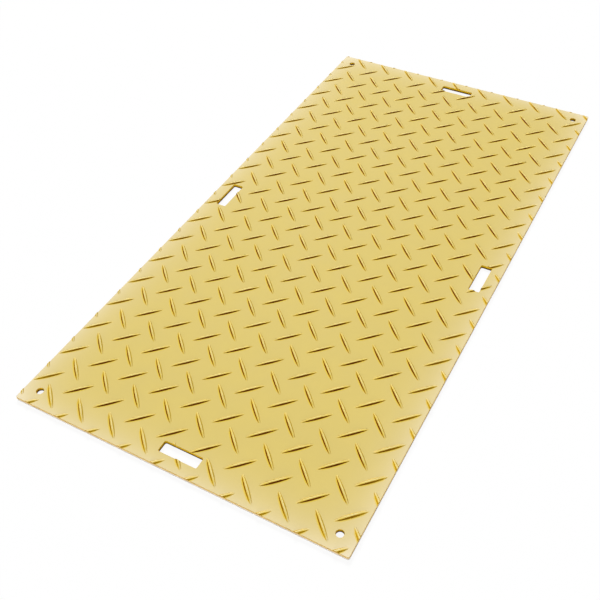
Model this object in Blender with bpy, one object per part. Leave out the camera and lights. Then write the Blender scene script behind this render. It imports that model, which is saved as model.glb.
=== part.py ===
"""Ground protection mat: one moulded plastic sheet with a herringbone tread of raised lugs on its upper
face, a hand slot in the middle of each side and a peg hole in each corner.

Metres, +Z up. The mat lies flat: x runs across it, y along it, and the origin is at the middle of its
underside.
"""
import math

import bmesh
import bpy
from mathutils import Matrix, Vector

# Sheet
MAT_WIDTH = 0.910
MAT_LENGTH = 1.820
PLATE_THICKNESS = 0.0105
CORNER_RADIUS = 0.005

# Tread lugs: long spindles that lean left and right in turn
LUG_LENGTH = 0.078
LUG_WIDTH = 0.0106
LUG_HEIGHT = 0.0030
LUG_FLANK_RUN = 0.0030
LUG_SHOULDER_WIDTH = 0.0080
LUG_SHOULDER_HEIGHT = 0.0017
LUG_SHOULDER_OFFSET = 0.0260
LUG_ANGLE = math.radians(45.0)
LUG_PITCH_X = 0.09355
LUG_PITCH_Y = 0.09735
FIRST_COLUMN_INSET = 0.0290
FIRST_ROW_INSET = 0.0421
LUG_ROOT_DEPTH = 0.0010

# Hand slots, one in the middle of each side
SLOT_LENGTH = 0.106
SLOT_WIDTH = 0.031
SLOT_EDGE_DISTANCE = 0.034
SLOT_CORNER_RADIUS = 0.004

# Peg holes, one in each corner
HOLE_DIAMETER = 0.019
HOLE_INSET = 0.042

# Facets of the round stretches
CORNER_SEGMENTS = 4
HOLE_SEGMENTS = 24

PLATE_COLOUR = (0.76, 0.62, 0.22, 1.0)


def clear_scene():
    for thing in list(bpy.data.objects):
        bpy.data.objects.remove(thing, do_unlink=True)


def new_collection(name):
    collection = bpy.data.collections.new(name)
    bpy.context.scene.collection.children.link(collection)
    return collection


def moulded_plastic():
    """Pale yellow high-density polyethylene, moulded, with a low sheen."""
    material = bpy.data.materials.new("moulded_yellow_polyethylene")
    material.use_nodes = True
    shader = material.node_tree.nodes["Principled BSDF"]
    shader.inputs["Base Color"].default_value = PLATE_COLOUR
    shader.inputs["Roughness"].default_value = 0.5
    shader.inputs["Metallic"].default_value = 0.0
    return material


def rounded_rectangle(centre_x, centre_y, size_x, size_y, radius):
    """Points of a rectangle with round corners, counter-clockwise."""
    points = []
    for quarter, (side_x, side_y) in enumerate(((1, 1), (-1, 1), (-1, -1), (1, -1))):
        arc_x = centre_x + side_x * (size_x / 2 - radius)
        arc_y = centre_y + side_y * (size_y / 2 - radius)
        for step in range(CORNER_SEGMENTS + 1):
            angle = math.pi / 2 * (quarter + step / CORNER_SEGMENTS)
            points.append((arc_x + radius * math.cos(angle), arc_y + radius * math.sin(angle)))
    return points


def circle(centre_x, centre_y, diameter):
    """Points of a round hole."""
    points = []
    radius = diameter / 2
    for step in range(HOLE_SEGMENTS):
        angle = math.tau * step / HOLE_SEGMENTS
        points.append((centre_x + radius * math.cos(angle), centre_y + radius * math.sin(angle)))
    return points


def hand_slots():
    """Outlines of the four hand slots, each a fixed distance in from its side and centred on it."""
    middle = SLOT_EDGE_DISTANCE + SLOT_WIDTH / 2
    outlines = []
    for side in (-1, 1):
        across_y = side * (MAT_LENGTH / 2 - middle)
        along_x = side * (MAT_WIDTH / 2 - middle)
        outlines.append(rounded_rectangle(0, across_y, SLOT_LENGTH, SLOT_WIDTH, SLOT_CORNER_RADIUS))
        outlines.append(rounded_rectangle(along_x, 0, SLOT_WIDTH, SLOT_LENGTH, SLOT_CORNER_RADIUS))
    return outlines


def peg_holes():
    """Outlines of the four corner holes."""
    outlines = []
    for side_x in (-1, 1):
        for side_y in (-1, 1):
            centre_x = side_x * (MAT_WIDTH / 2 - HOLE_INSET)
            centre_y = side_y * (MAT_LENGTH / 2 - HOLE_INSET)
            outlines.append(circle(centre_x, centre_y, HOLE_DIAMETER))
    return outlines


def extruded_outlines(name, outlines, thickness, centre_z, collection):
    """A flat 2D curve of closed outlines, extruded to a prism and made a mesh; inner outlines are holes."""
    curve = bpy.data.curves.new(name + "_outline", "CURVE")
    curve.dimensions = "2D"
    curve.fill_mode = "BOTH"
    curve.extrude = thickness / 2
    for points in outlines:
        spline = curve.splines.new("POLY")
        spline.points.add(len(points) - 1)
        for point, (x, y) in zip(spline.points, points):
            point.co = (x, y, 0.0, 1.0)
        spline.use_cyclic_u = True
    guide = bpy.data.objects.new(name + "_outline", curve)
    collection.objects.link(guide)
    guide.location.z = centre_z
    bpy.context.view_layer.update()
    mesh = bpy.data.meshes.new_from_object(guide.evaluated_get(bpy.context.evaluated_depsgraph_get()))
    prism = bpy.data.objects.new(name, mesh)
    prism.matrix_world = guide.matrix_world
    bpy.data.objects.remove(guide)
    weld = bmesh.new()
    weld.from_mesh(mesh)
    bmesh.ops.remove_doubles(weld, verts=weld.verts, dist=0.00001)
    weld.to_mesh(mesh)
    weld.free()
    collection.objects.link(prism)
    return prism


def lug_outline():
    """Plan of one lug at the plate's face, a spindle along x, with the height of its crest at each point."""
    half = LUG_LENGTH / 2
    belly = LUG_WIDTH / 2
    shoulder = LUG_SHOULDER_WIDTH / 2
    return [
        (half, 0.0, 0.0),
        (LUG_SHOULDER_OFFSET, shoulder, LUG_SHOULDER_HEIGHT),
        (0.0, belly, LUG_HEIGHT),
        (-LUG_SHOULDER_OFFSET, shoulder, LUG_SHOULDER_HEIGHT),
        (-half, 0.0, 0.0),
        (-LUG_SHOULDER_OFFSET, -shoulder, LUG_SHOULDER_HEIGHT),
        (0.0, -belly, LUG_HEIGHT),
        (LUG_SHOULDER_OFFSET, -shoulder, LUG_SHOULDER_HEIGHT),
    ]


def mitres(points):
    """For each corner of a closed outline, the way inward that moves both of its sides by one unit."""
    inward = []
    for index, point in enumerate(points):
        before = (point - points[index - 1]).normalized()
        after = (points[(index + 1) % len(points)] - point).normalized()
        normal_before = Vector((-before.y, before.x))
        normal_after = Vector((-after.y, after.x))
        bisector = (normal_before + normal_after).normalized()
        inward.append(bisector / bisector.dot(normal_before))
    return inward


def add_lug(lugs, place):
    """One lug: its plan is drawn at the root, extruded upward and drafted in to its arched crest."""
    outline = lug_outline()
    plan = [Vector((x, y)) for x, y, height in outline]
    inward = mitres(plan)
    draft = LUG_FLANK_RUN / LUG_HEIGHT
    root = []
    for point, way in zip(plan, inward):
        spread = point - way * draft * LUG_ROOT_DEPTH
        root.append(lugs.verts.new((spread.x, spread.y, PLATE_THICKNESS - LUG_ROOT_DEPTH)))
    floor = lugs.faces.new(root)
    raised = bmesh.ops.extrude_face_region(lugs, geom=[floor])["geom"]
    top = next(item for item in raised if isinstance(item, bmesh.types.BMFace))
    crest = [min(top.verts, key=lambda corner: (corner.co - base.co).length) for base in root]
    for corner, point, way, (x, y, height) in zip(crest, plan, inward, outline):
        drafted = point + way * draft * height
        corner.co = (drafted.x, drafted.y, PLATE_THICKNESS + height)
    # The arched crest is folded across the lug at its belly and its shoulders.
    for left, right in ((1, 7), (2, 6), (3, 5)):
        bmesh.ops.connect_vert_pair(lugs, verts=[crest[left], crest[right]])
    bmesh.ops.transform(lugs, matrix=place, verts=root + crest)


def grid_line(inset, pitch, span):
    """Lug centres along one way of a grid, out to where a lug can still reach the mat."""
    reach = LUG_LENGTH / 2
    before = math.floor((inset + reach) / pitch)
    after = math.floor((span - inset + reach) / pitch)
    return [inset - span / 2 + step * pitch for step in range(-before, after + 1)]


def tread(collection):
    """All lugs as one mesh: a grid that leans right, and one half a pitch away that leans left."""
    half_x = LUG_PITCH_X / 2
    half_y = LUG_PITCH_Y / 2
    grids = (
        (LUG_ANGLE, FIRST_COLUMN_INSET, FIRST_ROW_INSET + half_y),
        (-LUG_ANGLE, FIRST_COLUMN_INSET + half_x, FIRST_ROW_INSET),
    )
    lugs = bmesh.new()
    for angle, inset_x, inset_y in grids:
        for x in grid_line(inset_x, LUG_PITCH_X, MAT_WIDTH):
            for y in grid_line(inset_y, LUG_PITCH_Y, MAT_LENGTH):
                add_lug(lugs, Matrix.Translation((x, y, 0.0)) @ Matrix.Rotation(angle, 4, "Z"))
    bmesh.ops.recalc_face_normals(lugs, faces=lugs.faces)
    mesh = bpy.data.meshes.new("tread_lugs")
    lugs.to_mesh(mesh)
    lugs.free()
    tool = bpy.data.objects.new("tread_lugs", mesh)
    collection.objects.link(tool)
    return tool


def blank_sheet(collection):
    """The sheet as moulded, larger all round than the mat that is cut from it."""
    blank = bmesh.new()
    bmesh.ops.create_cube(blank, size=1.0)
    margin = 2 * LUG_LENGTH
    size = Vector((MAT_WIDTH + 2 * margin, MAT_LENGTH + 2 * margin, PLATE_THICKNESS))
    bmesh.ops.scale(blank, vec=size, verts=blank.verts)
    bmesh.ops.translate(blank, vec=(0.0, 0.0, PLATE_THICKNESS / 2), verts=blank.verts)
    mesh = bpy.data.meshes.new("mat_sheet")
    blank.to_mesh(mesh)
    blank.free()
    sheet = bpy.data.objects.new("mat_sheet", mesh)
    collection.objects.link(sheet)
    return sheet


def add_boolean(target, tool, operation):
    modifier = target.modifiers.new(operation.lower() + "_" + tool.name, "BOOLEAN")
    modifier.operation = operation
    modifier.solver = "EXACT"
    modifier.object = tool
    tool.hide_render = True
    tool.display_type = "WIRE"


def build_mat():
    parts = new_collection("ground_protection_mat")
    tools = new_collection("cutting_tools")
    sheet = blank_sheet(parts)
    add_boolean(sheet, tread(tools), "UNION")
    outline = rounded_rectangle(0, 0, MAT_WIDTH, MAT_LENGTH, CORNER_RADIUS)
    height = 2 * (PLATE_THICKNESS + LUG_HEIGHT)
    outlines = [outline] + hand_slots() + peg_holes()
    die = extruded_outlines("cutting_die", outlines, height, PLATE_THICKNESS / 2, tools)
    add_boolean(sheet, die, "INTERSECT")
    sheet.data.materials.append(moulded_plastic())


clear_scene()
build_mat()
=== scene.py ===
"""A ground protection mat, lying flat: one sheet of moulded yellow polyethylene with a herringbone tread.

Metres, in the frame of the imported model: x across the mat, y along it, z up from the floor.
"""
import math

import bmesh
import bpy
from mathutils import Matrix, Vector


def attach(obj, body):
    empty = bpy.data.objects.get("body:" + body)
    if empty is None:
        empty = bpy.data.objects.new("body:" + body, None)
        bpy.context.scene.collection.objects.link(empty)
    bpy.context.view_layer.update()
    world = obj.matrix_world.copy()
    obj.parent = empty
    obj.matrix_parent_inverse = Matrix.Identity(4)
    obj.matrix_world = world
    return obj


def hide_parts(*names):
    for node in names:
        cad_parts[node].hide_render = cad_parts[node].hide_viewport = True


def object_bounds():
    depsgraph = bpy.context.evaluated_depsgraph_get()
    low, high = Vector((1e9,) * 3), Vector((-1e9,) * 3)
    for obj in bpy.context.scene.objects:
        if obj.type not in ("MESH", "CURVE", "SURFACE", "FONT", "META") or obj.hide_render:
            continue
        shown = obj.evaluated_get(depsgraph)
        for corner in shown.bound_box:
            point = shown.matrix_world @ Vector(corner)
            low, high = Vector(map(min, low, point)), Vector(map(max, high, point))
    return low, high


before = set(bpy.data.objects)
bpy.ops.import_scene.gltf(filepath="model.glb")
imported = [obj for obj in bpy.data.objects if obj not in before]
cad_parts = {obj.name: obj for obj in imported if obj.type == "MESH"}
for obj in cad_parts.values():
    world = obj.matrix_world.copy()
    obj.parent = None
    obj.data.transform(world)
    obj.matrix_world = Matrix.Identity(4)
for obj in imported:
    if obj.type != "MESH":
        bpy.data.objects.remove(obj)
cad_box = [list(corner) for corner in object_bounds()]

# The plate. A flat sheet of high-density polyethylene, cut to size from a larger moulding. The hand slots and
# the peg holes are stamped through it, and the saw-cut rims are lightly broken.
MAT_WIDTH = cad_box[1][0] - cad_box[0][0]
MAT_LENGTH = cad_box[1][1] - cad_box[0][1]
MAT_HEIGHT = cad_box[1][2] - cad_box[0][2]
PLATE_THICKNESS = 0.0105
CORNER_RADIUS = 0.005
SLOT_LENGTH = 0.106
SLOT_WIDTH = 0.031
SLOT_EDGE_DISTANCE = 0.034
SLOT_CORNER_RADIUS = 0.004
HOLE_DIAMETER = 0.019
HOLE_INSET = 0.042
BROKEN_RIM = 0.0006
PUNCH_LENGTH = 0.1


def added(size=(1, 1, 1)):
    """The object that the last operator added, sized, with its place and turn taken into its mesh."""
    bpy.context.object.scale = size
    bpy.ops.object.transform_apply(location=True, rotation=True, scale=True)
    return bpy.context.object


def edit(piece):
    """Opens one piece in edit mode, with nothing selected in it."""
    bpy.ops.object.select_all(action="DESELECT")
    bpy.context.view_layer.objects.active = piece
    piece.select_set(True)
    bpy.ops.object.mode_set(mode="EDIT")
    bpy.ops.mesh.select_all(action="DESELECT")


def pick(piece, kind, wanted):
    """Selects the vertices, edges or faces of the open piece for which wanted(it) holds."""
    bpy.context.tool_settings.mesh_select_mode = (kind == "verts", kind == "edges", kind == "faces")
    mesh = bmesh.from_edit_mesh(piece.data)
    for item in getattr(mesh, kind):
        item.select_set(bool(wanted(item)))
    mesh.select_flush_mode()
    bmesh.update_edit_mesh(piece.data)


def close_edit():
    bpy.ops.object.mode_set(mode="OBJECT")


def round_upright_edges(piece, radius, segments):
    edit(piece)
    pick(piece, "edges", lambda edge: abs(edge.verts[0].co.z - edge.verts[1].co.z) > 0.001)
    bpy.ops.mesh.bevel(offset=radius, segments=segments, affect="EDGES")
    close_edit()


def joined(pieces):
    """Makes one object of several that don't touch."""
    bpy.ops.object.select_all(action="DESELECT")
    for piece in pieces:
        piece.select_set(True)
    bpy.context.view_layer.objects.active = pieces[0]
    bpy.ops.object.join()
    return pieces[0]


def copied(piece):
    twin = piece.copy()
    twin.data = piece.data.copy()
    bpy.context.scene.collection.objects.link(twin)
    return twin


def apply_modifier(piece, kind, **settings):
    """Adds a modifier to a piece and applies it."""
    bpy.ops.object.select_all(action="DESELECT")
    bpy.context.view_layer.objects.active = piece
    piece.select_set(True)
    modifier = piece.modifiers.new(kind.lower(), kind)
    for name, value in settings.items():
        setattr(modifier, name, value)
    bpy.ops.object.modifier_apply(modifier=modifier.name)


def combine(piece, tool, operation):
    """Cuts a piece with a tool, or unites the two, and removes the tool."""
    apply_modifier(piece, "BOOLEAN", operation=operation, solver="EXACT", object=tool)
    bpy.data.objects.remove(tool)


bpy.ops.object.select_all(action="DESELECT")
bpy.ops.mesh.primitive_cube_add(size=1, location=(0, 0, PLATE_THICKNESS / 2))
mat = added((MAT_WIDTH, MAT_LENGTH, PLATE_THICKNESS))
mat.name = "moulded_mat"
round_upright_edges(mat, CORNER_RADIUS, 6)

punches = []
slot_x = MAT_WIDTH / 2 - SLOT_EDGE_DISTANCE - SLOT_WIDTH / 2
slot_y = MAT_LENGTH / 2 - SLOT_EDGE_DISTANCE - SLOT_WIDTH / 2
for x, y, size_x, size_y in (
        (0, slot_y, SLOT_LENGTH, SLOT_WIDTH),
        (0, -slot_y, SLOT_LENGTH, SLOT_WIDTH),
        (slot_x, 0, SLOT_WIDTH, SLOT_LENGTH),
        (-slot_x, 0, SLOT_WIDTH, SLOT_LENGTH)):
    bpy.ops.mesh.primitive_cube_add(size=1, location=(x, y, 0))
    punch = added((size_x, size_y, PUNCH_LENGTH))
    round_upright_edges(punch, SLOT_CORNER_RADIUS, 6)
    punches.append(punch)
for side_x in (-1, 1):
    for side_y in (-1, 1):
        hole_x = side_x * (MAT_WIDTH / 2 - HOLE_INSET)
        hole_y = side_y * (MAT_LENGTH / 2 - HOLE_INSET)
        bpy.ops.mesh.primitive_cylinder_add(
            vertices=40, radius=HOLE_DIAMETER / 2, depth=PUNCH_LENGTH, location=(hole_x, hole_y, 0))
        punches.append(added())
combine(mat, joined(punches), "DIFFERENCE")

# The cutting die is the plate's own outline with its slots and holes, drawn out taller than the mat.
die = copied(mat)
edit(die)
bpy.ops.mesh.select_all(action="SELECT")
bpy.ops.transform.resize(value=(1, 1, 4), center_override=(0, 0, PLATE_THICKNESS / 2))
close_edit()

# The rims are the edges between a flat face and an upright one.
edit(mat)
pick(mat, "edges", lambda edge: len(edge.link_faces) == 2
     and abs(edge.link_faces[0].normal.z) + abs(edge.link_faces[1].normal.z) > 0.9
     and abs(edge.link_faces[0].normal.z) + abs(edge.link_faces[1].normal.z) < 1.1)
bpy.ops.mesh.bevel(offset=BROKEN_RIM, segments=2, affect="EDGES")
close_edit()

# The tread. Raised spindle-shaped lugs of the same plastic, moulded in one with the plate. Each was left by a
# disc that plunged into the mould's face, so its flanks are drafted and its crown runs up and down in an arc.
LUG_LENGTH = 0.078
LUG_HEIGHT = MAT_HEIGHT - PLATE_THICKNESS
LUG_CROWN_WIDTH = 0.0046
LUG_FLANK_RUN = 0.0030
LUG_SHOULDER = 0.0004
LUG_ROOT_DEPTH = 0.0008
LUG_ARC_STEPS = 8
LUG_PITCH_X = 0.09355
LUG_PITCH_Y = 0.09735
FIRST_COLUMN_INSET = 0.0290
FIRST_ROW_INSET = 0.0421

section_depth = LUG_HEIGHT + 2 * LUG_ROOT_DEPTH
draft = LUG_FLANK_RUN / LUG_HEIGHT

# The section stands across the lug at its middle: a drafted bar, its foot open and its shoulders broken.
bpy.ops.object.select_all(action="DESELECT")
bpy.ops.mesh.primitive_plane_add(
    size=1, location=(0, 0, PLATE_THICKNESS + LUG_HEIGHT - section_depth / 2), rotation=(0, math.pi / 2, 0))
lug = added((section_depth, LUG_CROWN_WIDTH, 1))
lug.name = "tread_lug"
edit(lug)
pick(lug, "verts", lambda vertex: vertex.co.z < PLATE_THICKNESS)
foot_scale = 1 + 2 * draft * section_depth / LUG_CROWN_WIDTH
bpy.ops.transform.resize(value=(1, foot_scale, 1), center_override=(0, 0, 0))
pick(lug, "edges", lambda edge: all(vertex.co.z < PLATE_THICKNESS for vertex in edge.verts))
bpy.ops.mesh.delete(type="EDGE_FACE")
pick(lug, "verts", lambda vertex: vertex.co.z > PLATE_THICKNESS)
bpy.ops.mesh.bevel(offset=LUG_SHOULDER, segments=1, affect="VERTICES")

# Half a crown is spun from the section about the disc's centre, on past the plate's face, and mirrored.
arc_radius = (LUG_LENGTH ** 2 / 4 + LUG_HEIGHT ** 2) / (2 * LUG_HEIGHT)
arc_turn = math.acos(1 - (LUG_HEIGHT + 2 * LUG_ROOT_DEPTH) / arc_radius)
bpy.ops.mesh.select_all(action="SELECT")
bpy.ops.mesh.spin(steps=LUG_ARC_STEPS, angle=arc_turn, axis=(0, 1, 0),
                  center=(0, 0, PLATE_THICKNESS + LUG_HEIGHT - arc_radius))
close_edit()
apply_modifier(lug, "MIRROR", merge_threshold=0.000001)
edit(lug)
bpy.ops.mesh.select_all(action="SELECT")
bpy.ops.mesh.bisect(
    plane_co=(0, 0, PLATE_THICKNESS - LUG_ROOT_DEPTH), plane_no=(0, 0, 1), clear_inner=True, use_fill=True)
bpy.ops.mesh.select_all(action="SELECT")
bpy.ops.mesh.normals_make_consistent(inside=False)
close_edit()


def grid(first_inset, pitch, span):
    """Where a row of lugs starts, from the middle of the mat, and how many reach on to the mat."""
    before = math.floor((first_inset + LUG_LENGTH / 2) / pitch)
    after = math.floor((span - first_inset + LUG_LENGTH / 2) / pitch)
    return first_inset - span / 2 - before * pitch, before + after + 1


# The two grids: which way their lugs lean, in degrees, and the insets of their first column and row.
herringbone = (
    (45, FIRST_COLUMN_INSET, FIRST_ROW_INSET + LUG_PITCH_Y / 2),
    (-45, FIRST_COLUMN_INSET + LUG_PITCH_X / 2, FIRST_ROW_INSET))
grids = []
for lean, inset_x, inset_y in herringbone:
    start_x, columns = grid(inset_x, LUG_PITCH_X, MAT_WIDTH)
    start_y, rows = grid(inset_y, LUG_PITCH_Y, MAT_LENGTH)
    lugs = copied(lug)
    turn = Matrix.Rotation(math.radians(lean), 4, "Z")
    lugs.data.transform(Matrix.Translation((start_x, start_y, 0)) @ turn)
    apply_modifier(lugs, "ARRAY", count=columns, use_relative_offset=False, use_constant_offset=True,
                   constant_offset_displace=(LUG_PITCH_X, 0, 0))
    apply_modifier(lugs, "ARRAY", count=rows, use_relative_offset=False, use_constant_offset=True,
                   constant_offset_displace=(0, LUG_PITCH_Y, 0))
    grids.append(lugs)
bpy.data.objects.remove(lug)
tread = joined(grids)

# The lugs are cut off where the sheet's edges, slots and holes cross them, and are one with the plate.
combine(tread, die, "INTERSECT")
combine(mat, tread, "UNION")
edit(mat)
bpy.ops.mesh.select_all(action="SELECT")
bpy.ops.mesh.remove_doubles(threshold=0.000002)
bpy.ops.mesh.select_all(action="SELECT")
bpy.ops.mesh.normals_make_consistent(inside=False)

# The lugs' feet are kept sharp against the flat plate.
pick(mat, "edges", lambda edge: all(abs(vertex.co.z - PLATE_THICKNESS) < 0.00001 for vertex in edge.verts)
     and any(face.normal.z < 0.9999 for face in edge.link_faces))
bpy.ops.mesh.mark_sharp()
close_edit()
bpy.ops.object.shade_smooth_by_angle(angle=math.radians(32), keep_sharp_edges=True)


# The plastic. Moulded high-density polyethylene, pale yellow all through. To the eye it is matt, from the
# lightly grained mould. Painted light and shade make it gold and brown on the steep flanks and down in the
# cuts, and painted light makes it paler along the border and on the crowns and yellow in front of each lug.
def linear(code):
    """The linear colour of an sRGB hex code."""
    channels = [int(code[start:start + 2], 16) / 255 for start in (1, 3, 5)]
    return tuple(c / 12.92 if c <= 0.04045 else ((c + 0.055) / 1.055) ** 2.4 for c in channels) + (1,)


def add_node(tree, kind, inputs=(), **settings):
    """Adds a node, sets its settings, and links or sets its inputs, given as pairs of socket and value."""
    node = tree.nodes.new("ShaderNode" + kind)
    for name, value in settings.items():
        setattr(node, name, value)
    for socket, value in inputs:
        if isinstance(value, bpy.types.NodeSocket):
            tree.links.new(value, node.inputs[socket])
        else:
            node.inputs[socket].default_value = value
    return node


polyethylene = bpy.data.materials.new("moulded_yellow_polyethylene")
polyethylene.use_nodes = True
tree = polyethylene.node_tree
shader = tree.nodes["Principled BSDF"]
shader.inputs["IOR"].default_value = 1.54
shader.inputs["Specular IOR Level"].default_value = 0.12

place = add_node(tree, "TexCoord")
position = add_node(tree, "SeparateXYZ", [("Vector", place.outputs["Object"])])
facing = add_node(tree, "SeparateXYZ", [("Vector", place.outputs["Normal"])])

# Painted light: the border is painted paler over its outer 40 mm, from each edge by itself, so that the
# corners are palest: border is 1 at an edge, 2 at a corner and nearly 0 in the middle.
FADE = 0.040
fades = []
for axis, edge in (("X", MAT_WIDTH / 2), ("Y", MAT_LENGTH / 2)):
    outward = add_node(tree, "Math", [(0, position.outputs[axis])], operation="ABSOLUTE")
    inset = add_node(tree, "Math", [(0, outward.outputs[0]), (1, edge)], operation="SUBTRACT")
    steps = add_node(tree, "Math", [(0, inset.outputs[0]), (1, FADE)], operation="DIVIDE")
    fades.append(add_node(tree, "Math", [(0, steps.outputs[0])], operation="EXPONENT"))
border = add_node(tree, "Math", [(0, fades[0].outputs[0]), (1, fades[1].outputs[0])], operation="ADD")
painted_border_light = add_node(tree, "MapRange", [("Value", border.outputs[0]), ("From Max", 2.0)])
plate_colour = add_node(tree, "ValToRGB", [("Fac", painted_border_light.outputs[0])])
plate_colour.color_ramp.elements[0].color = linear("#DCC56C")
plate_colour.color_ramp.elements[1].color = linear("#F4E6C4")

# Painted highlight: the lugs' crowns are painted a touch paler than the plate.
crown = add_node(tree, "MapRange", [("Value", position.outputs["Z"]), ("From Min", PLATE_THICKNESS),
                                    ("From Max", MAT_HEIGHT), ("To Max", 0.5)])
highlighted_top = add_node(tree, "Mix", [(0, crown.outputs[0]), (6, plate_colour.outputs[0]),
                                    (7, linear("#F6EAAC"))], data_type="RGBA")

# Painted light: light soaks into each lug from behind and is painted coming out yellow in front of it, on a
# strip of plate 4.5 mm wide, and along the front of its crown. Each grid is folded on to one lug, and the
# distance is taken to a line 1 mm inside that lug's front foot. Over the lug's outer sixths it grows, so the
# strip ends with the lug.
GLOW = 0.0055
FULL_GLOW = 0.001
GLOW_ENDING = 0.3
half_cell = Vector((LUG_PITCH_X / 2, LUG_PITCH_Y / 2, 1))
line_sweep = -4 * LUG_FLANK_RUN / LUG_LENGTH ** 2
line_offset = LUG_CROWN_WIDTH / 2 + LUG_FLANK_RUN - FULL_GLOW
reach = None
for lean, inset_x, inset_y in herringbone:
    cosine = math.cos(math.radians(lean))
    sine = math.sin(math.radians(lean))
    corner = (inset_x - MAT_WIDTH / 2, inset_y - MAT_LENGTH / 2, 0)
    shifted = add_node(tree, "VectorMath", [(0, place.outputs["Object"]), (1, corner)], operation="SUBTRACT")
    folded = add_node(tree, "VectorMath", [(0, shifted.outputs[0]), (1, half_cell), (2, -half_cell)],
                      operation="WRAP")
    along = add_node(tree, "VectorMath", [(0, folded.outputs[0]), (1, (cosine, sine, 0))],
                     operation="DOT_PRODUCT")
    front = add_node(tree, "VectorMath", [(0, folded.outputs[0]), (1, (sine, -cosine, 0))],
                     operation="DOT_PRODUCT")
    squared = add_node(tree, "Math", [(0, along.outputs["Value"]), (1, 2.0)], operation="POWER")
    line = add_node(tree, "Math", [(0, squared.outputs[0]), (1, line_sweep), (2, line_offset)],
                    operation="MULTIPLY_ADD")
    short = add_node(tree, "Math", [(0, front.outputs["Value"]), (1, line.outputs[0])], operation="SUBTRACT")
    off = add_node(tree, "Math", [(0, short.outputs[0])], operation="ABSOLUTE")
    away = add_node(tree, "Math", [(0, along.outputs["Value"])], operation="ABSOLUTE")
    past = add_node(tree, "Math", [(0, away.outputs[0]), (1, LUG_LENGTH / 3)], operation="SUBTRACT")
    beyond = add_node(tree, "Math", [(0, past.outputs[0]), (1, 0.0)], operation="MAXIMUM")
    distance = add_node(tree, "Math", [(0, beyond.outputs[0]), (1, GLOW_ENDING), (2, off.outputs[0])],
                        operation="MULTIPLY_ADD")
    if reach:
        distance = add_node(tree, "Math", [(0, distance.outputs[0]), (1, reach.outputs[0])],
                            operation="MINIMUM")
    reach = distance
glow = add_node(tree, "MapRange", [("Value", reach.outputs[0]), ("From Min", FULL_GLOW), ("From Max", GLOW),
                                   ("To Min", 1.0), ("To Max", 0.0)])
glow_painted_colour = add_node(tree, "Mix", [(0, glow.outputs[0]), (6, highlighted_top.outputs[2]),
                               (7, linear("#E4C414"))], data_type="RGBA")

# The lugs' drafted flanks, 45 degrees steep, carry painted light and shade. Those behind, which face the key
# lamp, are painted a lit gold. Those in front are painted shade, from amber at the foot to a deep brown
# 1.2 mm up, and pale to gold towards the border with the painted border light. The value level is 1 on a
# flat face, 0.7 on a flank and 0 on a wall.
BROWN_HEIGHT = 0.0012
level = add_node(tree, "Math", [(0, facing.outputs["Z"])], operation="ABSOLUTE")
shoulder = add_node(tree, "MapRange", [("Value", level.outputs[0]), ("From Min", 0.985),
                                       ("From Max", 0.93)])
steepness = add_node(tree, "MapRange", [("Value", level.outputs[0]), ("From Min", 0.93),
                                        ("From Max", 0.80)])
height = add_node(tree, "MapRange", [("Value", position.outputs["Z"]), ("From Min", PLATE_THICKNESS),
                                     ("From Max", PLATE_THICKNESS + BROWN_HEIGHT)])
front_shade_ramp = add_node(tree, "ValToRGB", [("Fac", height.outputs[0])])
front_shade_ramp.color_ramp.elements[0].color = linear("#A45C00")
front_shade_ramp.color_ramp.elements[1].color = linear("#6C2A00")
near_border = add_node(tree, "MapRange", [("Value", border.outputs[0]), ("From Min", 0.15),
                                          ("From Max", 0.8)])
shaded_front_flank = add_node(tree, "Mix", [(0, near_border.outputs[0]), (6, front_shade_ramp.outputs[0]),
                                     (7, linear("#D2A00C"))], data_type="RGBA")
lit_side = add_node(tree, "MapRange", [("Value", facing.outputs["Y"]), ("From Min", -0.1),
                                       ("From Max", 0.1)])
lit_and_shaded_flank = add_node(tree, "Mix", [(0, lit_side.outputs[0]), (6, shaded_front_flank.outputs[2]),
                                      (7, linear("#C4A63A"))], data_type="RGBA")

# Painted half shade: the shoulders between crown and flank are painted gold. So are the broken rims, which
# pale at the sheet's own edge with the painted border light.
outermost = add_node(tree, "MapRange", [("Value", border.outputs[0]), ("From Min", 0.9), ("From Max", 0.98)])
rim_colour = add_node(tree, "Mix", [(0, outermost.outputs[0]), (6, linear("#D0B838")),
                                    (7, linear("#EDD08A"))], data_type="RGBA")
above_rims = add_node(tree, "Math", [(0, position.outputs["Z"]), (1, PLATE_THICKNESS - 0.0001)],
                      operation="GREATER_THAN")
steep_colour = add_node(tree, "Mix", [(0, above_rims.outputs[0]), (6, rim_colour.outputs[2]),
                                      (7, lit_and_shaded_flank.outputs[2])], data_type="RGBA")
shouldered = add_node(tree, "Mix", [(0, shoulder.outputs[0]), (6, glow_painted_colour.outputs[2]),
                                    (7, linear("#D2A024"))], data_type="RGBA")
# Steep faces take the painted light and shade of the flanks and rims, the rest the plate's colours.
painted_surface_colour = add_node(tree, "Mix", [(0, steepness.outputs[0]), (6, shouldered.outputs[2]),
                                        (7, steep_colour.outputs[2])], data_type="RGBA")

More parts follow.
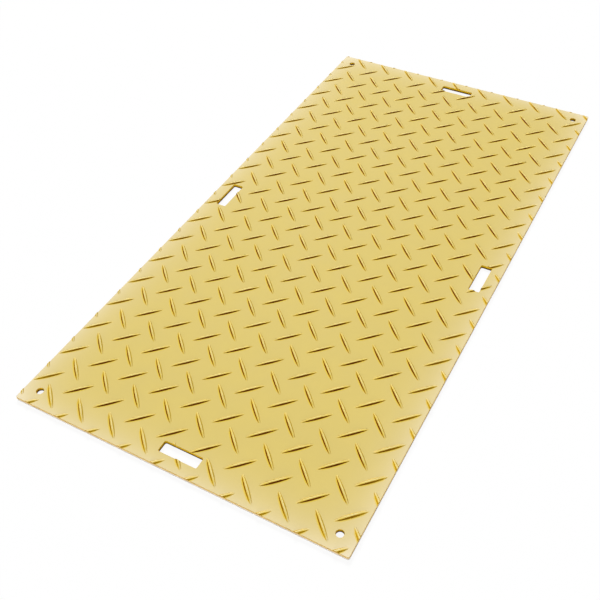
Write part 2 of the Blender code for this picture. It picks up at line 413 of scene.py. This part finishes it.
# Painted light and shade on the cuts: the walls of the slots and holes are painted from a gold glow at the
# rim to brown shade at the foot, the outer walls from gold to a near white painted light at the foot. Where
# a cut goes through a lug, its end is painted a brownish gold shade.
BROWN_BELOW = 0.003
GOLD_ABOVE = 0.007
wall_height = add_node(tree, "MapRange", [("Value", position.outputs["Z"]), ("From Min", BROWN_BELOW),
                                          ("From Max", GOLD_ABOVE)])
slot_wall_shade = add_node(tree, "ValToRGB", [("Fac", wall_height.outputs[0])])
slot_wall_shade.color_ramp.elements[0].color = linear("#5A2400")
slot_wall_shade.color_ramp.elements[1].color = linear("#F8D020")
outer_wall_light = add_node(tree, "ValToRGB", [("Fac", wall_height.outputs[0])])
outer_wall_light.color_ramp.elements[0].color = linear("#FFF6EE")
outer_wall_light.color_ramp.elements[1].color = linear("#F4D080")
wall_colour = add_node(tree, "Mix", [(0, outermost.outputs[0]), (6, slot_wall_shade.outputs[0]),
                                     (7, outer_wall_light.outputs[0])], data_type="RGBA")
cut_colour = add_node(tree, "Mix", [(0, above_rims.outputs[0]), (6, wall_colour.outputs[2]),
                                    (7, linear("#B8862A"))], data_type="RGBA")
cut = add_node(tree, "MapRange", [("Value", level.outputs[0]), ("From Min", 0.5), ("From Max", 0.1)])
colour = add_node(tree, "Mix", [(0, cut.outputs[0]), (6, painted_surface_colour.outputs[2]),
                                (7, cut_colour.outputs[2])], data_type="RGBA")

# The flow of the melt leaves clouds a hand's breadth wide, hardly darker and hardly duller than the rest.
CLOUD_WIDTH = 0.090
clouds = add_node(tree, "TexNoise", [("Vector", place.outputs["Object"]), ("Scale", 1 / CLOUD_WIDTH),
                                     ("Detail", 3.0), ("Roughness", 0.55)])
cloud_range = add_node(tree, "MapRange", [("Value", clouds.outputs["Fac"]), ("From Min", 0.3),
                                          ("From Max", 0.7), ("To Min", 0.975), ("To Max", 1.02)])
clouded = add_node(tree, "Mix", [(0, 1.0), (6, colour.outputs[2]), (7, cloud_range.outputs[0])],
                   data_type="RGBA", blend_type="MULTIPLY")
tree.links.new(clouded.outputs[2], shader.inputs["Base Color"])
gloss = add_node(tree, "MapRange", [("Value", clouds.outputs["Fac"]), ("From Min", 0.3), ("From Max", 0.7),
                                    ("To Min", 0.58), ("To Max", 0.66)])
tree.links.new(gloss.outputs[0], shader.inputs["Roughness"])

# The mould's spark-eroded grain is about 1 mm across and shallow.
GRAIN_WIDTH = 0.0012
GRAIN_DEPTH = 0.0003
grain = add_node(tree, "TexNoise", [("Vector", place.outputs["Object"]), ("Scale", 1 / GRAIN_WIDTH),
                                    ("Detail", 2.0)])
bump = add_node(tree, "Bump", [("Strength", 0.12), ("Distance", GRAIN_DEPTH),
                               ("Height", grain.outputs["Fac"])])
tree.links.new(bump.outputs[0], shader.inputs["Normal"])

mat.data.materials.clear()
mat.data.materials.append(polyethylene)
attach(mat, "root")
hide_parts("mat_sheet")

# The floor. Seamless white studio paper, just under the mat. Camera and gloss see most of it as plain white,
# and the rest of its look is lit paper, which keeps a soft shadow of the mat.
FLOOR_SIZE = 30
FLOOR_GAP = 0.0004
WHITE_SHARE = 0.93
bpy.ops.object.select_all(action="DESELECT")
bpy.ops.mesh.primitive_plane_add(size=FLOOR_SIZE, location=(0, 0, -FLOOR_GAP))
floor = added()
floor.name = "floor"
paper = bpy.data.materials.new("white_background_paper")
paper.use_nodes = True
tree = paper.node_tree
shader = tree.nodes["Principled BSDF"]
shader.inputs["Base Color"].default_value = linear("#FCFCFC")
shader.inputs["Roughness"].default_value = 0.9
rays = add_node(tree, "LightPath")
seen = add_node(tree, "Math", [(0, rays.outputs["Is Camera Ray"]), (1, rays.outputs["Is Glossy Ray"])],
                operation="ADD")
seen = add_node(tree, "Math", [(0, seen.outputs[0]), (1, rays.outputs["Is Transmission Ray"])],
                operation="ADD", use_clamp=True)
share = add_node(tree, "Math", [(0, seen.outputs[0]), (1, WHITE_SHARE)], operation="MULTIPLY")
white = add_node(tree, "Emission", [("Color", (1, 1, 1, 1)), ("Strength", 1.0)])
lit = add_node(tree, "MixShader", [(0, share.outputs[0]), (1, shader.outputs[0]), (2, white.outputs[0])])
tree.links.new(lit.outputs[0], tree.nodes["Material Output"].inputs["Surface"])
floor.data.materials.append(paper)

# The light. One large soft lamp high behind the mat's left corner, a weaker and softer one low in front,
# which reaches the walls there, and a weak white room all round.
def add_lamp(name, energy, spread, azimuth, height):
    """A far lamp. Its spread, its azimuth to the left of the mat's back and its height are in degrees."""
    bpy.ops.object.light_add(type="SUN")
    lamp = bpy.context.object
    lamp.name = name
    lamp.data.energy = energy
    lamp.data.angle = math.radians(spread)
    turn = Matrix.Rotation(math.radians(azimuth), 3, "Z") @ Matrix.Rotation(math.radians(height), 3, "X")
    lamp.rotation_euler = (turn @ Vector((0, 1, 0))).to_track_quat("Z", "Y").to_euler()


add_lamp("key_lamp", energy=4.0, spread=20, azimuth=34, height=40)
add_lamp("fill_lamp", energy=1.8, spread=40, azimuth=-165, height=5)
room = bpy.data.worlds.new("white_room")
bpy.context.scene.world = room
room.use_nodes = True
tree = room.node_tree
rays = add_node(tree, "LightPath")
strength = add_node(tree, "MapRange", [("Value", rays.outputs["Is Camera Ray"]), ("To Min", 0.12),
                                       ("To Max", 1.0)])
tree.links.new(strength.outputs[0], tree.nodes["Background"].inputs["Strength"])
tree.nodes["Background"].inputs["Color"].default_value = (1, 1, 1, 1)

# The camera. It stands where the photograph was taken from, and has that camera's lens. Both were solved from
# the mat's outline and its grid of lugs.
bpy.ops.object.camera_add(location=(0.80517, -1.67474, 1.62621))
camera = bpy.context.object
camera.data.sensor_width = 36
camera.data.lens = 50.488
right = Vector((0.876841, 0.480103, -0.025498))
forward = Vector((-0.352832, 0.606560, -0.712457))
down = forward.cross(right)
camera.rotation_euler = Matrix((right, -down, -forward)).transposed().to_euler()
bpy.context.scene.camera = camera
bpy.context.scene.view_settings.view_transform = "Standard"
